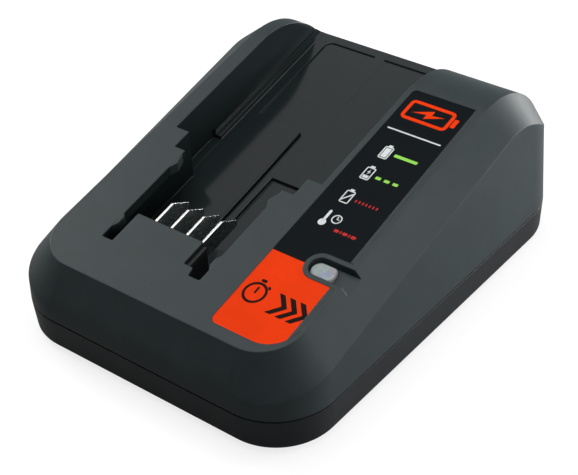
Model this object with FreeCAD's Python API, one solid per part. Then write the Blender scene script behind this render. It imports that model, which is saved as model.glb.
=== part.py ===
import FreeCAD, Part
import math
import os

# Desktop charger for a slide-on tool battery, in millimetres.
# +X is to the right, +Y to the rear and +Z up.
# The origin is the centre of the footprint, on the surface that the feet stand on.

Vector = FreeCAD.Vector
X_AXIS = Vector(1, 0, 0)
Y_AXIS = Vector(0, 1, 0)
Z_AXIS = Vector(0, 0, 1)

# Overall size
WIDTH = 115.0
DEPTH = 152.6
HALF_WIDTH = WIDTH / 2
HALF_DEPTH = DEPTH / 2
FOOT_HEIGHT = 1.0
CORNER_RADIUS = 20.7
WALL = 2.4

# Split line and the draft of the walls on either side of it
SEAM_Z = FOOT_HEIGHT + 11.7
SEAM_GAP = 0.5
UPPER_DRAFT = 0.04
LOWER_DRAFT = 0.063
BOTTOM_EDGE_RADIUS = 2.5

# The sloped deck, which starts at its front edge
DECK_FRONT_Y = -HALF_DEPTH + 7.0
DECK_FRONT_Z = FOOT_HEIGHT + 30.1
DECK_RISE = 0.235
DECK_ANGLE = math.atan(DECK_RISE)
DECK_INSET = 8.9
DECK_INSET_GROWTH = 0.0188
DECK_CORNER_RADIUS = 14.5

# The chamfer band round the deck, carried down past the crease by the skirt
SKIRT_FRONT_Y = -HALF_DEPTH - 2.15
SKIRT_FRONT_Z = FOOT_HEIGHT + 13.3
SKIRT_RISE = 0.270
SKIRT_FRONT_OUTSET = 2.7
SKIRT_REAR_OUTSET = 2.0
SKIRT_CORNER_RADIUS = 22.9

# The roll that turns the deck down into the rear wall
ROLL_RADIUS = 30.5

# Battery bay
BAY_X = -11.3
BAY_DEPTH = 17.0
BAY_WALL = 2.2
WIDE_HALF = 29.9
GROOVE_HALF = 24.4
NARROW_HALF = 19.9
WIDE_FRONT_Y = -7.7
STEP_FRONT_Y = -15.0
TONGUE_REAR_Y = -42.8
SLOT_FRONT_Y = -55.1
SLOT_WIDTH = 4.5
SLOT_DEPTH = 12.0
LIP_THICKNESS = 3.2
TONGUE_THICKNESS = 1.6
KEEL_HALF = 2.7
KEEL_HEIGHT = 1.6
SOLE_HALF = 22.3
SOLE_REAR_Y = 65.2
LINE_WIDTH = 0.7
CATCH_WIDTH = 6.6
CATCH_LENGTH = 16.0
CATCH_DEPTH = 1.4
CATCH_REAR_Y = 4.7

# Contact blades
BLADE_PITCH = 6.4
BLADE_THICKNESS = 0.8
BLADE_TOP = 1.7
BLADE_HEIGHT = 6.8
BLADE_REACH = 9.6
BLADE_NAMES = ("contact_positive", "contact_sense", "contact_identity", "contact_negative")

# Label panel and status window
LABEL_LEFT_X = 20.7
LABEL_MARGIN = 1.5
LABEL_RECESS = 0.35
LABEL_THICKNESS = 0.25
LABEL_REAR_Y = 39.2
LABEL_SPLIT_Y = -35.3
LABEL_FRONT_Y = -65.3
WINDOW_X = 37.6
WINDOW_Y = -34.6
WINDOW_RIM_RADIUS = 5.0
WINDOW_RADIUS = 3.4
WINDOW_RECESS = 2.3
LENS_LENGTH = 8.6
LENS_RADIUS = 2.8
LENS_TOP = 1.0
LED_HEIGHT = 1.4

# Inside
BOARD_TOP_Z = 10.6
BOARD_BOTTOM_Z = 9.0
BOARD_HALF_WIDTH = 47.0
BOARD_FRONT_Y = -60.0
BOARD_REAR_Y = 64.0
BOARD_POST_RADIUS = 3.0
BOARD_SCREWS = ((-36.0, -30.0), (24.0, -58.0), (-30.0, 59.0), (43.0, 30.0))
HOUSING_SCREWS = ((-46.0, -46.0), (46.0, -46.0), (-46.0, 46.0), (46.0, 46.0))
FOOT_PLACES = ((-40.0, -62.0), (40.0, -62.0), (-40.0, 62.0), (40.0, 62.0))
POST_RADIUS = 4.0
POST_BOTTOM_Z = 11.0
WELL_RADIUS = 3.9
WELL_TOP_Z = 6.4
SCREW_RADIUS = 1.75
SCREW_REACH = 10.0
BOARD_SCREW_RADIUS = 1.45
LIP_OUTSET = 1.4
LIP_HEIGHT = 2.0
FOOT_RADIUS = 5.0
FOOT_SEAT = 1.0
VENT_ROWS = (-28.0, 8.0)
VENT_COUNT = 9
VENT_PITCH = 6.0
VENT_HALF = 1.2
VENT_LENGTH = 22.0
BLOCK_LENGTH = 11.0
BLOCK_LEFT_X = BAY_X - NARROW_HALF + SLOT_WIDTH
BLOCK_RIGHT_X = 1.0
BLADE_TAIL_INSET = 4.0
BLADE_TAIL_WIDTH = 3.0
TRANSFORMER_PLACE = (36.0, 30.0)
CHOKE_PLACE = (8.0, 54.0)
MAINS_PLACE = (34.0, 56.0)
GLAND_X = 30.0
GLAND_BORE_RADIUS = 3.2
GLAND_RADIUS = 5.5


# Basic shapes

def box(x0, x1, y0, y1, z0, z1):
    return Part.makeBox(x1 - x0, y1 - y0, z1 - z0, Vector(x0, y0, z0))


def centred_box(x, y, z0, length, width, height):
    return box(x - length / 2, x + length / 2, y - width / 2, y + width / 2, z0, z0 + height)


def cylinder(x, y, z, radius, height, axis=Z_AXIS):
    return Part.makeCylinder(radius, height, Vector(x, y, z), axis)


def outline(corners, z=0.0):
    """Closed outline through (x, y, radius) corners, each rounded by an arc."""
    sides = []
    arcs = []
    count = len(corners)
    for index in range(count):
        x, y, radius = corners[index]
        here = Vector(x, y, z)
        before = Vector(corners[index - 1][0], corners[index - 1][1], z)
        after = Vector(corners[(index + 1) % count][0], corners[(index + 1) % count][1], z)
        to_before = (before - here).normalize()
        to_after = (after - here).normalize()
        half_angle = to_before.getAngle(to_after) / 2
        setback = radius / math.tan(half_angle)
        start = here + to_before * setback
        end = here + to_after * setback
        bisector = (to_before + to_after).normalize()
        middle = here + bisector * (radius / math.sin(half_angle) - radius)
        sides.append((start, end))
        arcs.append(Part.Arc(start, middle, end).toShape() if radius > 0 else None)
    edges = []
    for index in range(count):
        if arcs[index] is not None:
            edges.append(arcs[index])
        leave = sides[index][1]
        reach = sides[(index + 1) % count][0]
        if leave.distanceToPoint(reach) > 1e-6:
            edges.append(Part.LineSegment(leave, reach).toShape())
    return Part.Wire(edges)


def rectangle(x0, x1, y0, y1, radius=0.0):
    return [(x0, y0, radius), (x1, y0, radius), (x1, y1, radius), (x0, y1, radius)]


def plan_prism(corners, z0=-5.0, z1=80.0):
    """Upright prism over a plan outline."""
    return Part.Face(outline(corners, z0)).extrude(Vector(0, 0, z1 - z0))


def side_prism(points, x0, x1):
    """Prism along X over a polygon of (y, z) points."""
    corners = [Vector(x0, y, z) for y, z in points]
    return Part.Face(Part.makePolygon(corners + corners[:1])).extrude(Vector(x1 - x0, 0, 0))


def deck_z(y):
    return DECK_FRONT_Z + DECK_RISE * (y - DECK_FRONT_Y)


def deck_slab(top, bottom, front=-110.0, rear=110.0):
    """Everything between two planes parallel to the deck, given as heights from it."""
    points = [(front, deck_z(front) + bottom), (rear, deck_z(rear) + bottom)]
    points += [(rear, deck_z(rear) + top), (front, deck_z(front) + top)]
    return side_prism(points, -80.0, 80.0)


def fuse(shapes):
    whole = shapes[0].multiFuse(shapes[1:])
    return whole.removeSplitter()


# Housing form

def wall_outline(inset, z):
    """Footprint of the walls: a rectangle with four large round corners."""
    x = HALF_WIDTH - inset
    y = HALF_DEPTH - inset
    return outline(rectangle(-x, x, -y, y, CORNER_RADIUS - inset), z)


def drafted_walls(inset, z0, z1, draft):
    """Walls that lean by the draft from the seam, from z0 to z1."""
    lower = wall_outline(inset + draft * abs(z0 - SEAM_Z), z0)
    upper = wall_outline(inset + draft * abs(z1 - SEAM_Z), z1)
    return Part.makeLoft([lower, upper], True, True)


def tilted_band_edge(front_y, front_z, rise, front_half, rear_half, rear_distance, radius):
    """One edge of the chamfer band, drawn flat and tilted about its front edge."""
    corners = [(-front_half, 0.0, radius), (front_half, 0.0, radius)]
    corners += [(rear_half, rear_distance, 0.0), (-rear_half, rear_distance, 0.0)]
    wire = outline(corners)
    tilt = FreeCAD.Rotation(X_AXIS, math.degrees(math.atan(rise)))
    wire.Placement = FreeCAD.Placement(Vector(0, front_y, front_z), tilt)
    return wire


def roll_centre(inset):
    """Centre (y, z) of the roll, tangent to the deck and to the drafted rear wall."""
    drop = ROLL_RADIUS / math.cos(DECK_ANGLE)
    reach = inset + (ROLL_RADIUS - inset) / math.cos(math.atan(UPPER_DRAFT))
    level = DECK_FRONT_Z - DECK_RISE * DECK_FRONT_Y - drop
    y = (HALF_DEPTH - reach - UPPER_DRAFT * (level - SEAM_Z)) / (1 + UPPER_DRAFT * DECK_RISE)
    return y, level + DECK_RISE * y


def deck_form(inset):
    """Everything below the deck, its chamfer band and the roll, moved inwards by the inset."""
    centre_y, centre_z = roll_centre(inset)
    radius = ROLL_RADIUS - inset
    normal_y = -math.sin(DECK_ANGLE)
    normal_z = math.cos(DECK_ANGLE)
    back = 0.659 * inset
    down = 0.873 * inset
    side = 0.414 * inset
    deck_y = DECK_FRONT_Y + back
    deck_start_z = DECK_FRONT_Z - down
    skirt_y = SKIRT_FRONT_Y + back
    skirt_z = SKIRT_FRONT_Z - down
    # The band's two edges end on the plane through the roll's axis, square to the deck.
    deck_end_y = centre_y + radius * normal_y
    deck_end_z = centre_z + radius * normal_z
    skirt_gap = skirt_z + SKIRT_RISE * (centre_y - skirt_y) - centre_z
    skirt_radius = skirt_gap / (normal_z - SKIRT_RISE * normal_y)
    skirt_end_y = centre_y + skirt_radius * normal_y
    skirt_end_z = centre_z + skirt_radius * normal_z
    deck_front_half = HALF_WIDTH - DECK_INSET - side
    deck_rear_half = deck_front_half - DECK_INSET_GROWTH * (deck_end_y - deck_y)
    skirt_front_half = HALF_WIDTH + SKIRT_FRONT_OUTSET - side
    skirt_rear_half = HALF_WIDTH + SKIRT_REAR_OUTSET - side
    deck_length = math.hypot(deck_end_y - deck_y, deck_end_z - deck_start_z)
    skirt_length = math.hypot(skirt_end_y - skirt_y, skirt_end_z - skirt_z)
    deck_edge = tilted_band_edge(
        deck_y, deck_start_z, DECK_RISE, deck_front_half, deck_rear_half,
        deck_length, DECK_CORNER_RADIUS - inset / 2)
    skirt_edge = tilted_band_edge(
        skirt_y, skirt_z, SKIRT_RISE, skirt_front_half, skirt_rear_half,
        skirt_length, SKIRT_CORNER_RADIUS - inset / 2)
    band = Part.makeLoft([skirt_edge, deck_edge], True, True)
    # The band's end section turns about the roll's axis down to the rear wall.
    section = Part.makePolygon([
        Vector(-deck_rear_half, deck_end_y, deck_end_z),
        Vector(deck_rear_half, deck_end_y, deck_end_z),
        Vector(skirt_rear_half, skirt_end_y, skirt_end_z),
        Vector(skirt_rear_half, centre_y, centre_z),
        Vector(-skirt_rear_half, centre_y, centre_z),
        Vector(-skirt_rear_half, skirt_end_y, skirt_end_z),
        Vector(-deck_rear_half, deck_end_y, deck_end_z)])
    wall_angle = math.degrees(math.atan(UPPER_DRAFT))
    turn = 90.0 + math.degrees(DECK_ANGLE) - wall_angle
    roll = Part.Face(section).revolve(Vector(0, centre_y, centre_z), X_AXIS, -turn)
    # The core fills what lies below the band and ahead of the rear wall.
    far = 2 * HALF_DEPTH
    core = side_prism([
        (-far, -far),
        (-far, skirt_z + SKIRT_RISE * (-far - skirt_y)),
        (skirt_end_y, skirt_end_z),
        (centre_y, centre_z),
        (centre_y + far, centre_z + UPPER_DRAFT * far),
        (centre_y + far, -far)], -WIDTH, WIDTH)
    return core.fuse([band, roll])


def upper_form(inset, bottom_z):
    """Outside of the upper shell, or its inside when there is an inset."""
    walls = drafted_walls(inset, bottom_z, 80.0, UPPER_DRAFT)
    return walls.common(deck_form(inset))


# Battery bay

def bay_box(half, front, rear, top, bottom, extra=0.0):
    """Block of the bay, between two levels given as heights from the deck."""
    corners = rectangle(BAY_X - half - extra, BAY_X + half + extra, front - extra, rear)
    return plan_prism(corners).common(deck_slab(top, bottom))


def bay_mass():
    """The bay's walls and floor, before the bay is cut out of it."""
    bottom = -BAY_DEPTH - BAY_WALL
    wide = bay_box(WIDE_HALF, WIDE_FRONT_Y, 100.0, 20.0, bottom, BAY_WALL)
    narrow = bay_box(GROOVE_HALF, SLOT_FRONT_Y, WIDE_FRONT_Y, 20.0, bottom, BAY_WALL)
    return fuse([wide, narrow])


def left_slot():
    """Slot for the battery's left rail, rounded where it meets the tongue."""
    outer = BAY_X - NARROW_HALF
    inner = outer + SLOT_WIDTH
    corners = [
        (outer, SLOT_FRONT_Y, 0.6),
        (inner, SLOT_FRONT_Y, 0.6),
        (inner, TONGUE_REAR_Y + 2.0, 0.0),
        (outer, TONGUE_REAR_Y + 2.0, 0.0)]
    return plan_prism(corners).common(deck_slab(20.0, -SLOT_DEPTH))


def right_slot():
    """Slot for the right rail, with a wider stretch beside the tongue."""
    outer = BAY_X + NARROW_HALF
    inner = outer - SLOT_WIDTH
    wide_inner = inner - 4.3
    corners = [
        (inner, SLOT_FRONT_Y, 0.6),
        (outer, SLOT_FRONT_Y, 0.6),
        (outer, TONGUE_REAR_Y + 2.0, 0.0),
        (wide_inner, TONGUE_REAR_Y + 2.0, 0.0),
        (wide_inner, SLOT_FRONT_Y + 3.0, 0.6),
        (inner - 0.6, SLOT_FRONT_Y + 3.0, 0.6)]
    return plan_prism(corners).common(deck_slab(20.0, -SLOT_DEPTH))


def bay_space():
    """The room that the battery's foot takes, with its slots and rail grooves."""
    wide = bay_box(WIDE_HALF, WIDE_FRONT_Y, 100.0, 20.0, -BAY_DEPTH)
    step = bay_box(GROOVE_HALF, STEP_FRONT_Y, WIDE_FRONT_Y + 1.0, 20.0, -BAY_DEPTH)
    narrow = bay_box(NARROW_HALF, TONGUE_REAR_Y, STEP_FRONT_Y + 1.0, 20.0, -BAY_DEPTH)
    grooves = bay_box(GROOVE_HALF, TONGUE_REAR_Y, STEP_FRONT_Y + 1.0, -LIP_THICKNESS, -BAY_DEPTH)
    return fuse([wide, step, narrow, grooves, left_slot(), right_slot()])


def bay_floor_details():
    """Raised pieces on the bay's floor: foot strips along the walls and a central keel."""
    floor = -BAY_DEPTH
    pieces = []
    for side in (-1, 1):
        wall_x = BAY_X + side * WIDE_HALF
        for width, height in ((3.5, 1.2), (1.1, 3.0)):
            edge_x = wall_x - side * width
            strip = rectangle(min(wall_x, edge_x), max(wall_x, edge_x), WIDE_FRONT_Y, 100.0)
            pieces.append(plan_prism(strip).common(deck_slab(floor + height, floor - 0.5)))
    keel = rectangle(BAY_X - KEEL_HALF, BAY_X + KEEL_HALF, TONGUE_REAR_Y + 8.5, 100.0)
    pieces.append(plan_prism(keel).common(deck_slab(floor + KEEL_HEIGHT, floor - 0.5)))
    return pieces


def bay_floor_cuts():
    """Shallow line round the battery's sole, and a catch pocket on each side of the keel."""
    floor = -BAY_DEPTH
    half = SOLE_HALF
    outer = plan_prism(rectangle(BAY_X - half, BAY_X + half, -2.0, SOLE_REAR_Y, 3.0))
    line = LINE_WIDTH
    inner = plan_prism(rectangle(
        BAY_X - half + line, BAY_X + half - line, -2.0 + line, SOLE_REAR_Y - line, 3.0 - line))
    ring = outer.cut(inner).common(deck_slab(floor + 0.1, floor - 0.5))
    cuts = [ring]
    for side in (-1, 1):
        near = BAY_X + side * KEEL_HALF
        far = near + side * CATCH_WIDTH
        pocket = rectangle(min(near, far), max(near, far), CATCH_REAR_Y - CATCH_LENGTH, CATCH_REAR_Y, 0.5)
        cuts.append(plan_prism(pocket).common(deck_slab(floor + 0.1, floor - CATCH_DEPTH)))
    return cuts


# Status panel

def panel_right_x(y):
    """Right edge of the labels, parallel to the deck's edge."""
    inset = DECK_INSET + DECK_INSET_GROWTH * (y - DECK_FRONT_Y)
    return HALF_WIDTH - inset - LABEL_MARGIN


def window_stadium(radius, left_x, right_x):
    """Oblong with a round left end; the right end is square."""
    y0 = WINDOW_Y - radius
    y1 = WINDOW_Y + radius
    return [(left_x - radius, y0, radius * 0.999), (right_x, y0, 0.0), (right_x, y1, 0.0),
            (left_x - radius, y1, radius * 0.999)]


def label_outlines():
    """The black status label and the orange accent label in front of it."""
    status = [
        (LABEL_LEFT_X, LABEL_SPLIT_Y, 0.0),
        (panel_right_x(LABEL_SPLIT_Y), LABEL_SPLIT_Y, 0.0),
        (panel_right_x(LABEL_REAR_Y), LABEL_REAR_Y, 1.5),
        (LABEL_LEFT_X, LABEL_REAR_Y, 1.5)]
    accent = [
        (LABEL_LEFT_X, LABEL_FRONT_Y, 2.5),
        (panel_right_x(LABEL_FRONT_Y), LABEL_FRONT_Y, 10.0),
        (panel_right_x(LABEL_SPLIT_Y), LABEL_SPLIT_Y, 0.0),
        (LABEL_LEFT_X, LABEL_SPLIT_Y, 0.0)]
    return status, accent


def label(corners, margin=0.0):
    """A thin film in the label recess, cut round the window's rim."""
    film = plan_prism(corners).common(deck_slab(-LABEL_RECESS + LABEL_THICKNESS, -LABEL_RECESS))
    rim = plan_prism(window_stadium(WINDOW_RIM_RADIUS, WINDOW_X, HALF_WIDTH))
    return film.cut(rim)


def label_recess():
    """Recess for both films, stopped at the rim of the window."""
    corners = [
        (LABEL_LEFT_X, LABEL_FRONT_Y, 2.5),
        (panel_right_x(LABEL_FRONT_Y), LABEL_FRONT_Y, 10.0),
        (panel_right_x(LABEL_REAR_Y), LABEL_REAR_Y, 1.5),
        (LABEL_LEFT_X, LABEL_REAR_Y, 1.5)]
    recess = plan_prism(corners).common(deck_slab(5.0, -LABEL_RECESS))
    rim = plan_prism(window_stadium(WINDOW_RIM_RADIUS, WINDOW_X, HALF_WIDTH))
    return recess.cut(rim)


def lens_outline(margin=0.0):
    radius = LENS_RADIUS + margin
    x0 = WINDOW_X - WINDOW_RADIUS + 0.5 - margin
    x1 = x0 + LENS_LENGTH + 2 * margin
    return [(x0, WINDOW_Y - radius, radius * 0.999), (x1, WINDOW_Y - radius, radius * 0.8),
            (x1, WINDOW_Y + radius, radius * 0.8), (x0, WINDOW_Y + radius, radius * 0.999)]


def window_cuts():
    """Recess round the window, running out through the chamfer, and the hole for the lens."""
    channel = plan_prism(window_stadium(WINDOW_RADIUS, WINDOW_X, HALF_WIDTH + 5.0))
    channel = channel.common(deck_slab(5.0, -WINDOW_RECESS))
    hole = plan_prism(lens_outline(0.15)).common(deck_slab(5.0, -12.0))
    return [channel, hole]


def lens():
    """Clear window: a domed head in the recess and a light pipe down to the diode."""
    head = plan_prism(lens_outline()).common(deck_slab(-LENS_TOP, -6.0))
    rim_edges = [edge for edge in head.Edges if edge.BoundBox.ZMin > deck_z(edge.BoundBox.YMin) - LENS_TOP - 0.2]
    head = head.makeFillet(0.8, rim_edges)
    stem_bottom = BOARD_TOP_Z + LED_HEIGHT + 0.4
    x = WINDOW_X - WINDOW_RADIUS + 0.5 + LENS_LENGTH / 2
    stem = cylinder(x, WINDOW_Y, stem_bottom, 2.0, deck_z(WINDOW_Y) - 5.0 - stem_bottom)
    return fuse([head, stem])


# Shells

def gland_place(radius, front_y, rear_y):
    return cylinder(GLAND_X, front_y, SEAM_Z, radius, rear_y - front_y, Y_AXIS)


def gland_room():
    """Round hole through the rear wall, half in each shell, with room for the inner flange."""
    hole = gland_place(GLAND_RADIUS + 0.05, HALF_DEPTH - 8.0, HALF_DEPTH + 5.0)
    flange = gland_place(GLAND_RADIUS + 2.05, HALF_DEPTH - WALL - 4.6, HALF_DEPTH - WALL - 0.6)
    return hole.fuse(flange)


def soften(shape, edges, radius):
    return shape.makeFillet(radius, edges)


def upper_outside():
    """Outside of the upper shell with its deck edge and crease softened."""
    return upper_form(0.0, SEAM_Z + SEAM_GAP / 2)


def upper_housing():
    outside = upper_outside()
    hollow = upper_form(WALL, SEAM_Z - 5.0)
    posts = []
    for x, y in HOUSING_SCREWS:
        posts.append(cylinder(x, y, POST_BOTTOM_Z, POST_RADIUS, 80.0))
    hollow = hollow.cut(fuse([bay_mass()] + posts))
    shell = outside.cut(hollow)
    shell = fuse([shell] + [post.common(upper_form(0.5, POST_BOTTOM_Z)) for post in posts])
    rebate = drafted_walls(LIP_OUTSET - 0.1, SEAM_Z - 1.0, SEAM_Z + LIP_HEIGHT + 0.2, UPPER_DRAFT)
    posts_room = fuse([cylinder(x, y, 0.0, POST_RADIUS, 40.0) for x, y in HOUSING_SCREWS])
    shell = shell.cut(rebate.cut(posts_room))
    cuts = [bay_space(), label_recess(), block_room(), gland_room()]
    cuts += window_cuts()
    for x, y in HOUSING_SCREWS:
        cuts.append(cylinder(x, y, POST_BOTTOM_Z - 1.0, SCREW_RADIUS, SCREW_REACH + 1.0))
    shell = shell.cut(fuse(cuts))
    details = [piece.common(upper_form(0.0, SEAM_Z)) for piece in bay_floor_details()]
    shell = fuse([shell] + details)
    for cut in bay_floor_cuts():
        shell = shell.cut(cut)
    return shell


def base_housing():
    top = SEAM_Z - SEAM_GAP / 2
    body = drafted_walls(0.0, FOOT_HEIGHT, top, LOWER_DRAFT)
    bottom_edges = [edge for edge in body.Edges if edge.BoundBox.ZMax < FOOT_HEIGHT + 0.01]
    body = soften(body, bottom_edges, BOTTOM_EDGE_RADIUS)
    hollow = drafted_walls(WALL, FOOT_HEIGHT + WALL, top + 1.0, LOWER_DRAFT)
    body = body.cut(hollow)
    lip = drafted_walls(LIP_OUTSET, top - 1.0, SEAM_Z + LIP_HEIGHT, UPPER_DRAFT)
    lip = lip.cut(drafted_walls(WALL, top - 2.0, SEAM_Z + LIP_HEIGHT + 1.0, UPPER_DRAFT))
    pieces = [body, lip]
    for x, y in HOUSING_SCREWS:
        pieces.append(cylinder(x, y, FOOT_HEIGHT + 1.0, POST_RADIUS + 1.0, POST_BOTTOM_Z - FOOT_HEIGHT - 1.1))
    for x, y in BOARD_SCREWS:
        pieces.append(cylinder(x, y, FOOT_HEIGHT + 1.0, BOARD_POST_RADIUS, BOARD_BOTTOM_Z - FOOT_HEIGHT - 1.0))
    cuts = [gland_room()]
    for x, y in HOUSING_SCREWS:
        cuts.append(cylinder(x, y, 0.0, WELL_RADIUS, WELL_TOP_Z))
        cuts.append(cylinder(x, y, 0.0, SCREW_RADIUS + 0.2, POST_BOTTOM_Z + 1.0))
    for x, y in BOARD_SCREWS:
        cuts.append(cylinder(x, y, FOOT_HEIGHT + 1.6, BOARD_SCREW_RADIUS, BOARD_BOTTOM_Z))
    for x, y in FOOT_PLACES:
        cuts.append(cylinder(x, y, 0.0, FOOT_RADIUS, FOOT_HEIGHT + FOOT_SEAT))
    for row_y in VENT_ROWS:
        for index in range(VENT_COUNT):
            x = (index - (VENT_COUNT - 1) / 2) * VENT_PITCH
            slot = rectangle(x - VENT_HALF, x + VENT_HALF, row_y, row_y + VENT_LENGTH, VENT_HALF * 0.999)
            cuts.append(plan_prism(slot, 0.0, FOOT_HEIGHT + WALL + 0.5))
    return fuse(pieces).cut(fuse(cuts))


# Contacts

def block_profile(margin=0.0):
    """Side view of the terminal block: its top follows the deck."""
    front = TONGUE_REAR_Y - BLOCK_LENGTH
    rear = TONGUE_REAR_Y
    top = -TONGUE_THICKNESS - 0.05 + margin
    return [
        (front - margin, BOARD_TOP_Z), (rear, BOARD_TOP_Z), (rear, deck_z(rear) + top),
        (front - margin, deck_z(front - margin) + top)]


def block_room():
    """Room under the tongue for the terminal block."""
    return side_prism(block_profile(0.05), BLOCK_LEFT_X - 0.05, BLOCK_RIGHT_X + 0.05)


def blade_profile():
    """Side view of a blade: a tongue that reaches into the bay and a tail to the board."""
    root = TONGUE_REAR_Y
    tip = root + BLADE_REACH
    inner = root - BLADE_TAIL_INSET
    tail = inner - BLADE_TAIL_WIDTH
    lean = BLADE_HEIGHT * math.sin(DECK_ANGLE)
    return [
        (root, deck_z(root) - BLADE_TOP),
        (tip - lean - 1.0, deck_z(tip - lean - 1.0) - BLADE_TOP),
        (tip - lean, deck_z(tip - lean) - BLADE_TOP - 1.0),
        (tip, deck_z(tip) - BLADE_TOP - BLADE_HEIGHT + 0.6),
        (tip - 0.8, deck_z(tip - 0.8) - BLADE_TOP - BLADE_HEIGHT),
        (inner, deck_z(inner) - BLADE_TOP - BLADE_HEIGHT),
        (inner, BOARD_BOTTOM_Z - 1.0),
        (tail, BOARD_BOTTOM_Z - 1.0),
        (tail, deck_z(tail) - BLADE_TOP - 1.5),
        (root, deck_z(root) - BLADE_TOP - 1.5)]


def blade(index):
    x = BAY_X + (index - 1.5) * BLADE_PITCH
    return side_prism(blade_profile(), x - BLADE_THICKNESS / 2, x + BLADE_THICKNESS / 2)


def terminal_block(blades):
    """Block that holds the blades, with a guide rib between neighbours."""
    block = side_prism(block_profile(), BLOCK_LEFT_X, BLOCK_RIGHT_X)
    bolt = cylinder(BLOCK_LEFT_X - 1.0, TONGUE_REAR_Y - BLOCK_LENGTH + 2.5, BOARD_TOP_Z + 3.0, 1.2,
                    BLOCK_RIGHT_X - BLOCK_LEFT_X + 2.0, X_AXIS)
    return block.cut(fuse(blades + [bolt]))


# Board and components

def circuit_board(blades):
    corners = [
        (-BOARD_HALF_WIDTH, BOARD_FRONT_Y, 6.0), (BOARD_HALF_WIDTH, BOARD_FRONT_Y, 6.0),
        (BOARD_HALF_WIDTH, BOARD_REAR_Y, 6.0), (-BOARD_HALF_WIDTH, BOARD_REAR_Y, 6.0)]
    board = plan_prism(corners, BOARD_BOTTOM_Z, BOARD_TOP_Z)
    cuts = list(blades)
    for x, y in HOUSING_SCREWS:
        cuts.append(cylinder(x, y, 0.0, POST_RADIUS + 1.3, 40.0))
    for x, y in BOARD_SCREWS:
        cuts.append(cylinder(x, y, 0.0, BOARD_SCREW_RADIUS + 0.1, 40.0))
    return board.cut(fuse(cuts))


def transformer_parts():
    """Ferrite core as two E halves round a bobbin that carries the winding."""
    x, y = TRANSFORMER_PLACE
    z = BOARD_TOP_Z + 3.0
    core = centred_box(x, y, z, 28.0, 14.0, 24.0)
    window = centred_box(x, y, z + 4.5, 19.0, 15.0, 15.0)
    limb = centred_box(x, y, z, 8.0, 14.0, 24.0)
    core = core.cut(window).fuse(limb.common(core)).removeSplitter()
    bobbin_z = z + 4.6
    tube = centred_box(x, y, bobbin_z, 10.0, 16.0, 14.8)
    flanges = [centred_box(x, y, bobbin_z, 18.8, 24.0, 1.2)]
    flanges.append(centred_box(x, y, bobbin_z + 13.6, 18.8, 24.0, 1.2))
    feet = []
    for side in (-1, 1):
        pillar = centred_box(x, y + side * 10.6, BOARD_TOP_Z, 18.8, 2.6, bobbin_z + 1.2 - BOARD_TOP_Z)
        feet.append(pillar)
    bobbin = fuse([tube] + flanges + feet)
    hole = centred_box(x, y, z, 8.1, 14.1, 24.0)
    bobbin = bobbin.cut(hole)
    coil = plan_prism(rectangle(x - 9.2, x + 9.2, y - 11.6, y + 11.6, 4.0), bobbin_z + 1.2, bobbin_z + 13.6)
    coil = coil.cut(centred_box(x, y, z, 10.0, 16.0, 24.0))
    core = core.fuse(limb).removeSplitter()
    bobbin = bobbin.cut(core)
    return core, bobbin, coil.cut(core)


def can(x, y, radius, height, z=None):
    """Electrolytic can with a rolled groove near its foot and a rounded rim."""
    base = BOARD_TOP_Z if z is None else z
    body = cylinder(x, y, base, radius, height)
    top_edges = [edge for edge in body.Edges if edge.BoundBox.ZMin > base + height - 0.1]
    body = body.makeFillet(0.8, top_edges[:1])
    groove = Part.makeTorus(radius + 0.3, 0.9, Vector(x, y, base + 2.5))
    return body.cut(groove)


def heat_sink(x, y, length, height):
    """Upright fin plate with a bent foot and short ribs on its back."""
    plate = centred_box(x, y, BOARD_TOP_Z, 2.0, length, height)
    ribs = []
    for index in range(4):
        rib_y = y - length / 2 + 2.0 + index * (length - 4.0) / 3
        ribs.append(centred_box(x + 3.0, rib_y, BOARD_TOP_Z, 4.2, 1.4, height))
    return fuse([plate] + ribs)


def tab_transistor(x, y):
    """Moulded body with a metal tab, flat against its heat sink, on three legs."""
    body = centred_box(x, y, BOARD_TOP_Z + 4.0, 4.4, 10.0, 9.0)
    tab = centred_box(x + 1.55, y, BOARD_TOP_Z + 4.0, 1.3, 10.0, 15.0)
    tab = tab.cut(cylinder(x - 5.0, y, BOARD_TOP_Z + 16.2, 1.6, 10.0, X_AXIS))
    legs = [centred_box(x, y + step, BOARD_TOP_Z, 0.6, 1.0, 4.2) for step in (-2.54, 0.0, 2.54)]
    return fuse([body, tab] + legs)


def choke_parts():
    """Flat ring core standing on the board inside its winding."""
    x, y = CHOKE_PLACE
    z = BOARD_TOP_Z + 9.5
    start = Vector(x, y - 3.5, z)
    core = Part.makeCylinder(7.2, 7.0, start, Y_AXIS).cut(Part.makeCylinder(3.8, 7.0, start, Y_AXIS))
    coil = Part.makeTorus(5.5, 3.9, Vector(x, y, z), Y_AXIS)
    coil = coil.fuse(centred_box(x, y, BOARD_TOP_Z, 8.0, 6.0, 1.5)).removeSplitter()
    stem = centred_box(x, y, BOARD_TOP_Z, 3.0, 4.0, 3.0)
    coil = fuse([Part.makeCylinder(9.0, 10.0, Vector(x, y - 5.0, z), Y_AXIS), stem])
    coil = coil.cut(Part.makeCylinder(2.2, 12.0, Vector(x, y - 6.0, z), Y_AXIS))
    coil = coil.cut(core)
    return core, coil


def fuse_tube(x, y):
    """Glass tube with two metal caps in spring clips."""
    z = BOARD_TOP_Z + 4.0
    tube = cylinder(x, y - 10.0, z, 2.3, 20.0, Y_AXIS)
    caps = [cylinder(x, y - 10.0, z, 2.6, 5.0, Y_AXIS), cylinder(x, y + 5.0, z, 2.6, 5.0, Y_AXIS)]
    clips = [centred_box(x, y - 7.5, BOARD_TOP_Z, 4.4, 3.0, 3.0), centred_box(x, y + 7.5, BOARD_TOP_Z, 4.4, 3.0, 3.0)]
    return fuse([tube] + caps + clips)


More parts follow.
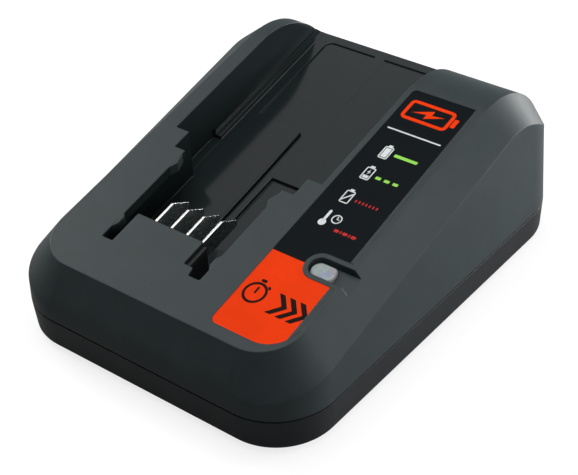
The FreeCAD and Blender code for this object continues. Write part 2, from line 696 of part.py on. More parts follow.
def chip(x, y, length, width, height, legs):
    """Moulded chip with gull legs along both long sides."""
    body = centred_box(x, y, BOARD_TOP_Z + 0.3, length, width, height)
    pieces = [body]
    for index in range(legs):
        leg_x = x + (index - (legs - 1) / 2) * 1.27
        pieces.append(centred_box(leg_x, y, BOARD_TOP_Z, 0.5, width + 2.4, 0.5))
    return fuse(pieces)


def mains_terminals():
    """Two-way pin housing where the mains conductors plug in."""
    x, y = MAINS_PLACE
    housing = centred_box(x, y, BOARD_TOP_Z, 14.0, 9.0, 11.0)
    cuts = [centred_box(x + side * 3.2, y + 2.0, BOARD_TOP_Z + 3.0, 4.4, 8.0, 6.0) for side in (-1, 1)]
    return housing.cut(fuse(cuts))


def cord_gland():
    """Bush with an inner flange; the mains cord passes through its bore."""
    body = gland_place(GLAND_RADIUS, HALF_DEPTH - WALL - 4.0, HALF_DEPTH - 0.3)
    flange = gland_place(GLAND_RADIUS + 2.0, HALF_DEPTH - WALL - 4.5, HALF_DEPTH - WALL - 0.7)
    bore = gland_place(GLAND_BORE_RADIUS, HALF_DEPTH - 15.0, HALF_DEPTH + 5.0)
    return body.fuse(flange).removeSplitter().cut(bore)


# Fasteners and feet

def pan_screw(x, y, head_z, head_radius, head_height, radius, length):
    """Screw driven upwards: a domed head with a cross slot below a plain shank."""
    head = cylinder(x, y, head_z, head_radius, head_height)
    edge = [item for item in head.Edges if item.BoundBox.ZMax < head_z + 0.01]
    head = head.makeFillet(head_height * 0.5, edge[:1])
    slots = [centred_box(x, y, head_z - 1.0, head_radius * 1.2, 0.9, 1.0 + head_height * 0.5)]
    slots.append(centred_box(x, y, head_z - 1.0, 0.9, head_radius * 1.2, 1.0 + head_height * 0.5))
    shank = cylinder(x, y, head_z + head_height, radius, length - 1.2)
    point = Part.makeCone(radius, 0.6, 1.2, Vector(x, y, head_z + head_height + length - 1.2))
    return fuse([head.cut(fuse(slots)), shank, point])


def board_screw(x, y):
    """Screw driven down through the board into its post."""
    screw = pan_screw(0.0, 0.0, 0.0, 2.8, 1.6, BOARD_SCREW_RADIUS - 0.05, 5.5)
    screw.rotate(Vector(0, 0, 0), X_AXIS, 180.0)
    screw.translate(Vector(x, y, BOARD_TOP_Z + 1.65))
    return screw


def rubber_foot(x, y):
    foot = cylinder(x, y, 0.0, FOOT_RADIUS - 0.05, FOOT_HEIGHT + FOOT_SEAT)
    edge = [item for item in foot.Edges if item.BoundBox.ZMax < 0.01]
    return foot.makeFillet(0.4, edge[:1])


def identical(makers, places):
    return Part.makeCompound([makers(x, y) for x, y in places])


def build():
    blades = [blade(index) for index in range(len(BLADE_NAMES))]
    core, bobbin, winding = transformer_parts()
    choke_core, choke_winding = choke_parts()
    status, accent = label_outlines()
    head_z = WELL_TOP_Z - 2.4
    parts = {
        "upper_housing": upper_housing(),
        "base_housing": base_housing(),
        "status_label": label(status),
        "accent_label": label(accent),
        "led_lens": lens(),
        "status_led": chip(WINDOW_X - WINDOW_RADIUS + 0.5 + LENS_LENGTH / 2, WINDOW_Y, 3.2, 2.8, 1.1, 2),
        "terminal_block": terminal_block(blades),
        "circuit_board": circuit_board(blades),
        "transformer_core": core,
        "transformer_bobbin": bobbin,
        "transformer_winding": winding,
        "choke_core": choke_core,
        "choke_winding": choke_winding,
        "input_capacitor": can(32.0, -6.0, 8.0, 25.0),
        "output_capacitors": identical(lambda x, y: can(x, y, 5.0, 12.0), ((-30.0, 20.0), (-30.0, 32.0))),
        "filter_capacitor": centred_box(-10.0, 54.0, BOARD_TOP_Z, 8.0, 16.0, 13.0),
        "bridge_rectifier": centred_box(24.0, 50.0, BOARD_TOP_Z, 4.0, 15.0, 12.0),
        "input_fuse": fuse_tube(-24.0, 50.0),
        "mains_terminals": mains_terminals(),
        "primary_heat_sink": heat_sink(8.0, 20.0, 30.0, 16.0),
        "switching_transistor": tab_transistor(4.6, 20.0),
        "secondary_heat_sink": heat_sink(-14.0, 20.0, 24.0, 14.0),
        "output_diode": tab_transistor(-17.4, 20.0),
        "controller_chip": chip(-10.0, -24.0, 10.0, 4.0, 1.6, 7),
        "optocoupler": chip(10.0, -18.0, 5.0, 6.4, 3.2, 2),
        "cord_gland": cord_gland(),
        "housing_screws": identical(
            lambda x, y: pan_screw(x, y, head_z, 3.5, 2.4, SCREW_RADIUS - 0.05, 12.0), HOUSING_SCREWS),
        "board_screws": identical(board_screw, BOARD_SCREWS),
        "rubber_feet": identical(rubber_foot, FOOT_PLACES),
    }
    for name, piece in zip(BLADE_NAMES, blades):
        parts[name] = piece
    return parts


os.makedirs("parts", exist_ok=True)
for name, shape in build().items():
    shape.exportStep("parts/" + name + ".step")
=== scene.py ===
import math

import bmesh
import bpy
from mathutils import Matrix, Vector


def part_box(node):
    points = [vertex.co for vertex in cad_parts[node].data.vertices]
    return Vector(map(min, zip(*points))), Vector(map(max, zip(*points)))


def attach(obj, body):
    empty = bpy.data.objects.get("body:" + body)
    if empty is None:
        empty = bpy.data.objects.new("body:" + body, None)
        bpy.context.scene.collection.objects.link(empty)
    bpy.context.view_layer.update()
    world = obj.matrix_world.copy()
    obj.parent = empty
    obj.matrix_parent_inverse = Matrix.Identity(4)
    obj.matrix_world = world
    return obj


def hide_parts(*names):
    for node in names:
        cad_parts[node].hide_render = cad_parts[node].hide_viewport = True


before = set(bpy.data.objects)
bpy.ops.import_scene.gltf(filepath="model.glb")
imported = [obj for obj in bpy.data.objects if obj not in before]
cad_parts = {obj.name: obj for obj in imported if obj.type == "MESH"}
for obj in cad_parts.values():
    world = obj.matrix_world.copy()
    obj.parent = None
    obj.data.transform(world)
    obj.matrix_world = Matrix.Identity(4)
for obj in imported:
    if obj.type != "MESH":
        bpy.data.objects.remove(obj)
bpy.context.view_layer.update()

bl_info = {
    "name": "Battery charger finish",
    "version": (1, 0, 0),
    "blender": (4, 5, 0),
    "location": "3D View > Sidebar > Charger",
    "description": "Dresses the battery charger: moulded shells, printed labels, window and stage",
    "category": "Object",
}

MM = 0.001
BODY = "root"

# The deck rises towards the rear. The black label lies along it, so its rear edge fixes the deck's height.
_, LABEL_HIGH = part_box("status_label")
DECK_RISE = 0.235
LABEL_TOP_AT_REAR = LABEL_HIGH.z
LABEL_REAR_Y = LABEL_HIGH.y
LABEL_SINK = 0.10 * MM          # how far the labels' faces lie below the deck

# The battery bay, whose faces are polished and painted darker as shade in the recess, while the outside is
# grained. Its depth is taken below the deck.
BAY_LEFT_X = -41.3 * MM
BAY_RIGHT_X = 18.7 * MM
BAY_FRONT_Y = -55.4 * MM
BAY_CENTRE_X = -11.3 * MM
BAY_DEPTH = 17.0 * MM


def label_z(y):
    """Height of the labels' upper face."""
    return LABEL_TOP_AT_REAR - DECK_RISE * (LABEL_REAR_Y - y)


# Shader maths

class Level:
    """A shader socket on which arithmetic adds Math nodes."""

    def __init__(self, finish, socket):
        self.finish = finish
        self.socket = socket

    def maths(self, operation, first, second):
        return self.finish.node("ShaderNodeMath", {"operation": operation}, {0: first, 1: second})

    def __add__(self, other):
        return self.maths("ADD", self, other)

    def __radd__(self, other):
        return self.maths("ADD", other, self)

    def __sub__(self, other):
        return self.maths("SUBTRACT", self, other)

    def __rsub__(self, other):
        return self.maths("SUBTRACT", other, self)

    def __mul__(self, other):
        return self.maths("MULTIPLY", self, other)

    def __rmul__(self, other):
        return self.maths("MULTIPLY", other, self)

    def step(self, low, high):
        """0 below low, 1 above high and smooth between them."""
        inputs = {"Value": self, "From Min": low, "From Max": high}
        settings = {"interpolation_type": "SMOOTHSTEP"}
        return self.finish.node("ShaderNodeMapRange", settings, inputs)


class Finish:
    """A material that is built up from nodes."""

    def __init__(self, name):
        self.material = bpy.data.materials.new(name)
        self.material.use_nodes = True
        self.tree = self.material.node_tree
        self.tree.nodes.clear()
        self.output = self.tree.nodes.new("ShaderNodeOutputMaterial")
        self.where = self.node("ShaderNodeTexCoord", output="Object")

    def node(self, kind, settings=None, inputs=None, output=0):
        """Adds a node of a kind; settings first, then values or links for its sockets."""
        made = self.tree.nodes.new(kind)
        for key, value in (settings or {}).items():
            setattr(made, key, value)
        for key, value in (inputs or {}).items():
            if isinstance(value, Level):
                self.tree.links.new(value.socket, made.inputs[key])
            else:
                made.inputs[key].default_value = value
        self.last = made
        return Level(self, made.outputs[output])

    def noise(self, size, detail=2.0, roughness=0.5, stretch=None):
        """Noise whose lumps are about this many metres across."""
        where = self.where
        if stretch:
            inputs = {"Vector": where, "Scale": stretch}
            where = self.node("ShaderNodeMapping", {"vector_type": "POINT"}, inputs)
        inputs = {"Vector": where, "Scale": 1.0 / size, "Detail": detail, "Roughness": roughness}
        return self.node("ShaderNodeTexNoise", None, inputs)

    def mix(self, factor, first, second):
        """Mixes two colours; each is a tuple or a link."""
        full = [(*c, 1.0) if isinstance(c, tuple) and len(c) == 3 else c for c in (first, second)]
        inputs = {0: factor, 6: full[0], 7: full[1]}
        return self.node("ShaderNodeMix", {"data_type": "RGBA"}, inputs, 2)

    def split(self):
        """The place's three coordinates."""
        across = self.node("ShaderNodeSeparateXYZ", None, {"Vector": self.where})
        return across, Level(self, self.last.outputs[1]), Level(self, self.last.outputs[2])

    def inside_bay(self):
        """1 on the faces of the battery bay, 0 outside it."""
        x, y, z = self.split()
        depth = label_z(0.0) + LABEL_SINK + y * DECK_RISE - z
        past_left = x.step(BAY_LEFT_X - 0.05 * MM, BAY_LEFT_X)
        past_right = x.step(BAY_RIGHT_X, BAY_RIGHT_X + 0.05 * MM)
        within = past_left * (1.0 - past_right)
        return depth.step(0.1 * MM, 0.4 * MM) * within * y.step(BAY_FRONT_Y, BAY_FRONT_Y + 0.1 * MM)

    def edge(self, radius):
        """1 on sharp edges within the radius, 0 on flat faces; also the rounded normal."""
        rounded = self.node("ShaderNodeBevel", {"samples": 4}, {"Radius": radius})
        flat = self.node("ShaderNodeNewGeometry", output="Normal")
        settings = {"operation": "DOT_PRODUCT"}
        likeness = self.node("ShaderNodeVectorMath", settings, {0: rounded, 1: flat}, "Value")
        return (1.0 - likeness).step(0.004, 0.12), rounded

    def bump(self, height, distance, strength=1.0, normal=None):
        inputs = {"Height": height, "Distance": distance, "Strength": strength}
        if normal:
            inputs["Normal"] = normal
        return self.node("ShaderNodeBump", None, inputs)

    def shade(self, colour, roughness, normal=None, **constants):
        """Ends the material in one shader; the constants are set on its own sockets."""
        inputs = {"Base Color": (*colour, 1.0) if isinstance(colour, tuple) else colour}
        inputs["Roughness"] = roughness
        if normal:
            inputs["Normal"] = normal
        inputs.update({key.replace("_", " "): value for key, value in constants.items()})
        shader = self.node("ShaderNodeBsdfPrincipled", None, inputs)
        self.tree.links.new(shader.socket, self.output.inputs["Surface"])
        return self.material


def scaled(colour, factor):
    return tuple(min(1.0, channel * factor) for channel in colour)


def moulded_plastic(name, colour, grain=0.35 * MM, roughness=0.5, polished_shaded_bay=False):
    """Spark textured plastic: fine grain, faint mottling and edges that are painted lighter, partly as wear
    and partly as a painted highlight.
    """
    finish = Finish(name)
    mottle = finish.noise(9 * MM, 3.0)
    fine = finish.noise(grain, 2.0, 0.6)
    coarse = finish.noise(grain * 3.1, 1.0)
    edge_wear_and_highlight, rounded = finish.edge(0.5 * MM)
    scuffs_and_edge_highlight = edge_wear_and_highlight * finish.noise(4 * MM, 3.0).step(0.35, 0.7)
    base = finish.mix(mottle.step(0.3, 0.7), scaled(colour, 0.93), scaled(colour, 1.07))
    base = finish.mix(fine.step(0.3, 0.75) * 0.35, base, scaled(colour, 1.35))
    # Edges are painted lighter here: partly scuffed wear, partly a painted highlight along every edge.
    base = finish.mix(scuffs_and_edge_highlight * 0.30, base, scaled(colour, 2.2))
    rough = fine * 0.16 + roughness - 0.08 - edge_wear_and_highlight * 0.08
    height = fine * 0.7 + coarse * 0.3
    if polished_shaded_bay:
        grained_unshaded = 1.0 - finish.inside_bay()
        # The bay's faces are painted at half the colour, as painted shade in the recess; their polish is the
        # lower roughness below.
        base = finish.mix(grained_unshaded, scaled(colour, 0.5), base)
        rough = rough * grained_unshaded + (1.0 - grained_unshaded) * 0.13
        height = height * grained_unshaded
    normal = finish.bump(height, 0.02 * MM, 0.8, rounded)
    return finish.shade(base, rough, normal, Specular_IOR_Level=0.26)


def printed_film(name, colour, roughness=0.3):
    """Screen printed film: a satin coat with an orange-peel ripple and faint handling marks."""
    finish = Finish(name)
    ripple = finish.noise(1.2 * MM, 2.0)
    smudge = finish.noise(14 * MM, 4.0, 0.6)
    edge_wear_and_highlight, rounded = finish.edge(0.15 * MM)
    base = finish.mix(smudge.step(0.35, 0.7), scaled(colour, 0.96), scaled(colour, 1.03))
    # Edges are painted lighter, partly as wear and partly as a painted highlight.
    base = finish.mix(edge_wear_and_highlight * 0.2, base, scaled(colour, 1.5))
    rough = smudge * 0.12 + roughness - 0.06
    return finish.shade(base, rough, finish.bump(ripple, 0.01 * MM, 0.5, rounded), Specular_IOR_Level=0.04)


def bright_metal(name, colour, roughness=0.25, grain=0.25 * MM):
    """Plated metal with drawn lines along its length."""
    finish = Finish(name)
    lines = finish.noise(grain, 3.0, 0.6, (1.0, 0.08, 1.0))
    stain = finish.noise(2.5 * MM, 3.0)
    edge_wear_and_highlight, rounded = finish.edge(0.12 * MM)
    base = finish.mix(stain.step(0.4, 0.75) * 0.25, colour, scaled(colour, 0.7))
    # Edges are painted lighter, partly as wear and partly as a painted highlight.
    base = finish.mix(edge_wear_and_highlight * 0.5, base, scaled(colour, 1.2))
    rough = lines * 0.2 + roughness - 0.1
    return finish.shade(base, rough, finish.bump(lines, 0.01 * MM, 0.12, rounded), Metallic=1.0)


def clear_window(name, colour):
    """Frosted clear plastic, lit from inside by the light that it scatters."""
    finish = Finish(name)
    haze = finish.noise(1.5 * MM, 2.0)
    edge_wear_and_highlight, rounded = finish.edge(0.4 * MM)
    facets = finish.node("ShaderNodeTexVoronoi", None, {"Vector": finish.where, "Scale": 420.0}, "Color")
    base = finish.mix(haze.step(0.3, 0.7), scaled(colour, 0.85), colour)
    base = finish.mix(0.18, base, facets)
    # Edges are painted lighter, partly as wear and partly as a painted highlight.
    base = finish.mix(edge_wear_and_highlight * 0.5, base, scaled(colour, 1.3))
    rough = haze * 0.15 + 0.12
    return finish.shade(base, rough, finish.bump(haze, 0.02 * MM, 0.4, rounded),
                        Transmission_Weight=0.35, IOR=1.49)


def rubber(name, colour):
    """Soft rubber: matt, finely pitted and dusty, with edges painted lighter as wear and as a painted
    highlight.
    """
    finish = Finish(name)
    pits = finish.noise(0.5 * MM, 3.0, 0.6)
    dust = finish.noise(3 * MM, 4.0)
    edge_wear_and_highlight, rounded = finish.edge(0.3 * MM)
    # Dust lightens at random; the edges are painted lighter as wear and as a painted highlight.
    base = finish.mix(dust.step(0.45, 0.8) * 0.4 + edge_wear_and_highlight * 0.2, colour, scaled(colour, 2.0))
    return finish.shade(base, dust * 0.15 + 0.7, finish.bump(pits, 0.03 * MM, 0.6, rounded))


def board_laminate(name, colour):
    """Circuit board: green mask over faint tracks."""
    finish = Finish(name)
    inputs = {"Vector": finish.where, "Scale": 260.0, "Mortar Size": 0.035, "Color1": (1, 1, 1, 1),
              "Color2": (0.6, 0.6, 0.6, 1), "Mortar": (0, 0, 0, 1)}
    tracks = finish.node("ShaderNodeTexBrick", None, inputs)
    weave = finish.noise(0.8 * MM, 2.0)
    base = finish.mix(tracks * 0.5, colour, scaled(colour, 2.0))
    return finish.shade(base, weave * 0.2 + 0.25, finish.bump(tracks, 0.03 * MM, 0.6))


# Sizes and colours that a user would change

def colour_setting(name, description, default):
    return bpy.props.FloatVectorProperty(
        name=name, description=description, default=default, size=3, min=0.0, max=1.0, subtype="COLOR")


def length_setting(name, description, default):
    return bpy.props.FloatProperty(
        name=name, description=description, default=default, unit="LENGTH", precision=5)


class CHARGER_PG_shell(bpy.types.PropertyGroup):
    """Colours and grain of the moulded shells."""

    upper_colour: colour_setting("Upper shell", "Colour of the upper shell's plastic", (0.029, 0.040, 0.043))
    base_colour: colour_setting("Base", "Colour of the base's plastic", (0.015, 0.018, 0.021))
    grain: length_setting("Grain", "Size of the spark texture's grains", 0.35 * MM)


class CHARGER_PG_panel(bpy.types.PropertyGroup):
    """Colours of the status panel's films and prints."""

    film: colour_setting("Status film", "Colour of the black film", (0.004, 0.007, 0.009))
    accent: colour_setting("Accent", "Colour of the orange film and prints", (0.97, 0.050, 0.002))
    mark: colour_setting("Marks", "Colour of the pale symbols", (0.80, 0.84, 0.84))
    ready: colour_setting("Ready bars", "Colour of the green bars", (0.36, 0.83, 0.12))
    fault: colour_setting("Fault bars", "Colour of the red bars", (0.62, 0.035, 0.035))
    print_height: length_setting("Print height", "How far the prints stand above their film", 0.03 * MM)


class CHARGER_PG_stage(bpy.types.PropertyGroup):
    """Camera, lamps and floor."""

    azimuth: bpy.props.FloatProperty(
        name="Azimuth", description="Camera direction round the charger", default=math.radians(40.113),
        subtype="ANGLE")
    elevation: bpy.props.FloatProperty(
        name="Elevation", description="Camera height angle", default=math.radians(36.012), subtype="ANGLE")
    roll: bpy.props.FloatProperty(
        name="Roll", description="Camera turn about its own axis", default=math.radians(3.51),
        subtype="ANGLE")
    place: bpy.props.FloatVectorProperty(
        name="Camera", description="Camera position", size=3,
        default=(0.25032, -0.29987, 0.29945), subtype="TRANSLATION")
    lens: bpy.props.FloatProperty(
        name="Lens", description="Focal length in millimetres on a 36 mm frame", default=91.913)


# Mesh helpers

WELD_DISTANCE = 0.0005 * MM
SHARP_ANGLE = math.radians(28)


def new_object(name, data):
    made = bpy.data.objects.new(name, data)
    bpy.context.scene.collection.objects.link(made)
    return made


def mesh_object(name, mesh):
    """An object that is made from a bmesh, which it uses up."""
    data = bpy.data.meshes.new(name)
    mesh.to_mesh(data)
    mesh.free()
    return new_object(name, data)


def bridge(mesh, near_points, far_points):
    """Adds a closed solid between two matching loops of points."""
    near, far = [[mesh.verts.new(point) for point in loop] for loop in (near_points, far_points)]
    mesh.faces.new(near)
    mesh.faces.new(list(reversed(far)))
    for index in range(len(near)):
        after = (index + 1) % len(near)
        mesh.faces.new((near[after], near[index], far[index], far[after]))
    bmesh.ops.recalc_face_normals(mesh, faces=mesh.faces)


def finish_piece(piece, material, slot, *replaced):
    """Gives a piece its material and its body; its slot is not used."""
    piece.data.materials.clear()
    piece.data.materials.append(material)
    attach(piece, BODY)
    if replaced:
        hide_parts(*replaced)


def dress_node(node, material):
    """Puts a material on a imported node, which keeps its own mesh."""
    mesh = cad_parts[node].data
    mesh.materials.clear()
    mesh.materials.append(material)


def on_deck(lift):
    """Maps plan points in millimetres onto the labels' face."""
    def place(x, y):
        return Vector((x * MM, y * MM, label_z(y * MM) + lift))
    return place


def slab_from_loops(mesh, loops, place, thickness):
    """Adds a thin slab; one loop makes a plate, and two make a ring."""
    down = Vector((0, 0, -thickness))
    tops = [[mesh.verts.new(place(x, y)) for x, y in loop] for loop in loops]
    bottoms = [[mesh.verts.new(vertex.co + down) for vertex in loop] for loop in tops]
    if len(loops) == 1:
        mesh.faces.new(tops[0])
        mesh.faces.new(list(reversed(bottoms[0])))
    else:
        count = len(tops[0])
        for index in range(count):
            after = (index + 1) % count
            outer, inner = tops
            mesh.faces.new((outer[index], outer[after], inner[after], inner[index]))
            outer, inner = bottoms
            mesh.faces.new((inner[index], inner[after], outer[after], outer[index]))
    for loop_index, (top, bottom) in enumerate(zip(tops, bottoms)):
        count = len(top)
        for index in range(count):
            after = (index + 1) % count
            side = (top[index], bottom[index], bottom[after], top[after])
            mesh.faces.new(side if loop_index == 0 else tuple(reversed(side)))


def on_floor(x, y, height):
    """Point in millimetres, whose height is taken from the battery bay's sloping floor."""
    return Vector((x * MM, y * MM, label_z(y * MM) + LABEL_SINK - BAY_DEPTH + height * MM))


def solid_between(name, first, second):
    """Closed solid between two matching loops of points."""
    mesh = bmesh.new()
    bridge(mesh, first, second)
    return mesh_object(name, mesh)


def floor_block(name, plan, low, high):
    """Block over a plan outline, between two heights from the bay's floor."""
    bottom = [on_floor(x, y, low) for x, y in plan]
    top = [on_floor(x, y, high) for x, y in plan]
    return solid_between(name, bottom, top)


def box_plan(left, right, front, rear):
    """Plan outline of a box."""
    return ((left, front), (right, front), (right, rear), (left, rear))


def reshaped(node, name, steps):
    """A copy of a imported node's mesh, to which solids are added or from which they are cut."""
    mesh = bmesh.new()
    mesh.from_mesh(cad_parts[node].data)
    bmesh.ops.remove_doubles(mesh, verts=mesh.verts, dist=WELD_DISTANCE)
    made = mesh_object(name, mesh)
    for operation, tool in steps:
        change = made.modifiers.new(tool.name, "BOOLEAN")
        change.operation = operation
        change.solver = "EXACT"
        change.object = tool
    bpy.context.view_layer.update()
    evaluated = made.evaluated_get(bpy.context.evaluated_depsgraph_get())
    shaped = bpy.data.meshes.new_from_object(evaluated)
    made.modifiers.clear()
    made.data = shaped
    for _, tool in steps:
        bpy.data.objects.remove(tool)
    mesh = bmesh.new()
    mesh.from_mesh(shaped)
    for face in mesh.faces:
        face.smooth = True
    for edge in mesh.edges:
        edge.smooth = len(edge.link_faces) == 2 and edge.calc_face_angle(0.0) < SHARP_ANGLE
    mesh.to_mesh(shaped)
    mesh.free()
    return made


def print_piece(name, shapes, place, thickness):
    """One printed mesh made of several flat shapes."""
    mesh = bmesh.new()
    for loops in shapes:
        slab_from_loops(mesh, loops, place, thickness)
    return mesh_object(name, mesh)


def rounded_bar(x, y, length, width, radius, turn=0.0, steps=5):
    """Loop of a rounded rectangle about its centre, turned by an angle."""
    points = []
    for corner, (sx, sy) in enumerate(((1, 1), (-1, 1), (-1, -1), (1, -1))):
        centre_x = sx * (length / 2 - radius)
        centre_y = sy * (width / 2 - radius)
        for step in range(steps + 1):
            angle = math.radians(90 * (corner + step / steps))
            across = centre_x + radius * math.cos(angle)
            along = centre_y + radius * math.sin(angle)
            points.append((across, along))
    c, s = math.cos(turn), math.sin(turn)
    return [(x + px * c - py * s, y + px * s + py * c) for px, py in points]


def ring(x, y, radius, width, steps=28):
    """Two loops of a round ring."""
    loops = []
    for r in (radius, radius - width):
        angles = [math.tau * step / steps for step in range(steps)]
        loops.append([(x + r * math.cos(a), y + r * math.sin(a)) for a in angles])
    return loops


def frame_bar(x, y, length, width, radius, border):
    """Two loops of a rounded frame."""
    inner_radius = max(radius - border, 0.05)
    return [rounded_bar(x, y, length, width, radius),
            rounded_bar(x, y, length - 2 * border, width - 2 * border, inner_radius)]


def bolt(x, y, height):
    """Loop of a lightning bolt that stands along Y."""
    outline = ((0.10, 0.5), (-0.26, -0.06), (-0.02, -0.06), (-0.12, -0.5), (0.26, 0.10), (0.02, 0.10))
    return [(x + px * height, y + py * height) for px, py in outline]


def battery(x, y, fill):
    """Shapes of a small upright battery symbol, filled up to a share of its height."""
    width, height, border, gap, cap = 3.3, 5.2, 0.42, 0.5, 0.7
    shapes = [frame_bar(x, y, width, height, 0.6, border)]
    shapes.append([rounded_bar(x, y + (height + cap) / 2, width * 0.45, cap, 0.2)])
    inside = height - 2 * border - gap
    if fill > 0:
        level = inside * fill
        shapes.append([rounded_bar(x, y - inside / 2 + level / 2, width - 2 * border - gap, level, 0.15)])
    return shapes


def chevron(x, y, height, rise, thickness):
    """Loop of a chevron that points along +X."""
    half = height / 2
    return [(x, y - half), (x + thickness, y - half), (x + thickness + rise, y),
            (x + thickness, y + half), (x, y + half), (x + rise, y)]


# Pieces

class Piece:
    """What every operator of this file shares."""

    bl_options = {"REGISTER", "UNDO"}

    def settings(self, context):
        scene = context.scene
        return scene.charger_shell, scene.charger_panel, scene.charger_stage


class CHARGER_OT_shells(Piece, bpy.types.Operator):
    """Finishes the two moulded shells"""

    bl_idname = "charger.shells"
    bl_label = "Moulded shells"

    def execute(self, context):
        shell, _, _ = self.settings(context)
        upper = moulded_plastic(
            "upper_shell_plastic", tuple(shell.upper_colour), shell.grain, polished_shaded_bay=True)
        past_rear = 90.0
        foot_front = 9.6
        wall = -41.2
        skim = 0.02
        cove = ((4.6, 4.5), (4.6, skim), (3.5, skim), (3.4, 0.25), (2.0, 0.25), (0.8, 1.4), (0.02, 1.4),
                (0.02, 3.4))
        slit = ((-14.2, 22.9), (-14.4, 0.0), (-14.4, -29.0), (-13.4, -29.0), (-13.6, 0.0), (-14.0, 22.9))
        steps = (
            ("UNION", floor_block("level_floor", box_plan(-36.0, 11.0, -30.0, 25.4), -1.6, skim)),
            ("DIFFERENCE", floor_block("keel_room", box_plan(-14.6, -8.0, -41.0, past_rear), skim, 3.0)),
            ("DIFFERENCE", floor_block(
                "front_foot_room", box_plan(wall + 0.02, -36.5, -7.68, foot_front), skim, 4.5)),
            ("DIFFERENCE", solid_between(
                "cove_room", [on_floor(wall + x, foot_front, height) for x, height in cove],
                [on_floor(wall + x, past_rear, height) for x, height in cove])),
            ("UNION", floor_block("line_gap", box_plan(-13.3, -9.3, 64.0, 65.7), -1.0, skim)),
            ("DIFFERENCE", floor_block("slit", slit, -1.3, 1.0)),
            ("DIFFERENCE", floor_block("pocket", box_plan(-10.5, 10.6, -29.5, 2.9), -1.0, 1.0)),
        )
        shaped = reshaped("upper_housing", "upper_shell", steps)
        finish_piece(shaped, upper, "shell_upper", "upper_housing")
        base = moulded_plastic("base_shell_plastic", tuple(shell.base_colour), shell.grain, roughness=0.48)
        dress_node("base_housing", base)
        return {"FINISHED"}


class CHARGER_OT_labels(Piece, bpy.types.Operator):
    """Finishes the two films and prints the charge status legend on them"""

    bl_idname = "charger.labels"
    bl_label = "Labels and prints"

    def execute(self, context):
        _, panel, _ = self.settings(context)
        lift = panel.print_height
        place = on_deck(lift)
        accent = tuple(panel.accent)
        dress_node("status_label", printed_film("status_film", tuple(panel.film), 0.32))
        dress_node("accent_label", printed_film("accent_film", accent, 0.35))
        legend_x, bar_x, bar_length = 28.6, 31.7, 8.4
        rows = (11.9, 2.2, -8.5, -18.2)
        marks = [[rounded_bar(32.4, 21.5, 19.8, 0.55, 0.2)]]
        marks += battery(legend_x, rows[0], 1.0)
        marks += battery(legend_x, rows[1], 0.3)
        marks.append([bolt(legend_x, rows[1] + 0.6, 2.4)])
        marks += battery(legend_x, rows[2], 0.0)
        marks.append([rounded_bar(legend_x, rows[2], 4.6, 0.5, 0.2, math.radians(52))])
        marks.append([rounded_bar(27.6, rows[3] + 1.0, 0.95, 4.6, 0.45)])
        marks.append([rounded_bar(27.6, rows[3] - 1.9, 2.6, 2.6, 1.29)])
        marks.append(ring(31.2, rows[3] + 0.8, 1.75, 0.42))
        marks.append([rounded_bar(31.2, rows[3] + 1.35, 0.35, 1.1, 0.1)])
        marks.append([rounded_bar(31.6, rows[3] + 0.8, 0.9, 0.35, 0.1)])
        white = print_piece("legend_symbols", marks, place, lift)
        finish_piece(white, printed_film("symbol_ink", tuple(panel.mark), 0.4), "label_black")
        ready = [[rounded_bar(bar_x + bar_length / 2, rows[0] + 0.1, bar_length, 1.15, 0.2)]]
        for index in range(3):
            ready.append([rounded_bar(bar_x + 1.05 + index * 3.15, rows[1] - 0.4, 1.9, 1.1, 0.2)])
        green = print_piece("ready_bars", ready, place, lift)
        finish_piece(green, printed_film("ready_ink", tuple(panel.ready), 0.4), "label_black")
        fault = []
        for index in range(7):
            fault.append([rounded_bar(bar_x + 0.4 + index * 1.27, rows[2] - 0.3, 0.5, 1.1, 0.15)])
        for index in range(3):
            fault.append([rounded_bar(bar_x + 2.1 + index * 3.1, rows[3] - 3.0, 1.7, 1.15, 0.4)])
        for index in range(2):
            fault.append([rounded_bar(bar_x + 3.65 + index * 3.1, rows[3] - 3.0, 0.45, 1.15, 0.15)])
        red = print_piece("fault_bars", fault, place, lift)
        finish_piece(red, printed_film("fault_ink", tuple(panel.fault), 0.4), "label_black")
        emblem = [frame_bar(31.4, 31.2, 17.0, 8.6, 1.8, 1.25)]
        emblem.append([rounded_bar(41.0, 31.2, 1.6, 3.8, 0.5)])
        upright = bolt(31.4, 31.2, 11.0)
        emblem.append([[(31.4 + (y - 31.2) * 1.05, 31.2 + (x - 31.4) * 0.75) for x, y in upright]])
        orange = print_piece("charge_emblem", emblem, place, lift)
        finish_piece(orange, printed_film("emblem_ink", accent, 0.4), "label_black")
        dial = [ring(26.3, -51.0, 3.9, 0.85), [rounded_bar(26.3, -46.3, 1.9, 1.1, 0.3)]]
        dial.append([rounded_bar(26.3, -50.0, 0.7, 2.6, 0.3)])
        dial.append([rounded_bar(29.4, -47.9, 1.3, 0.8, 0.3, math.radians(-45))])
        for index in range(3):
            dial.append([chevron(33.2 + index * 3.7, -51.6, 7.6, 3.4, 2.0)])
        dark = print_piece("speed_dial", dial, place, lift)
        finish_piece(dark, printed_film("dark_ink", (0.012, 0.006, 0.005), 0.45), "label_orange")
        return {"FINISHED"}


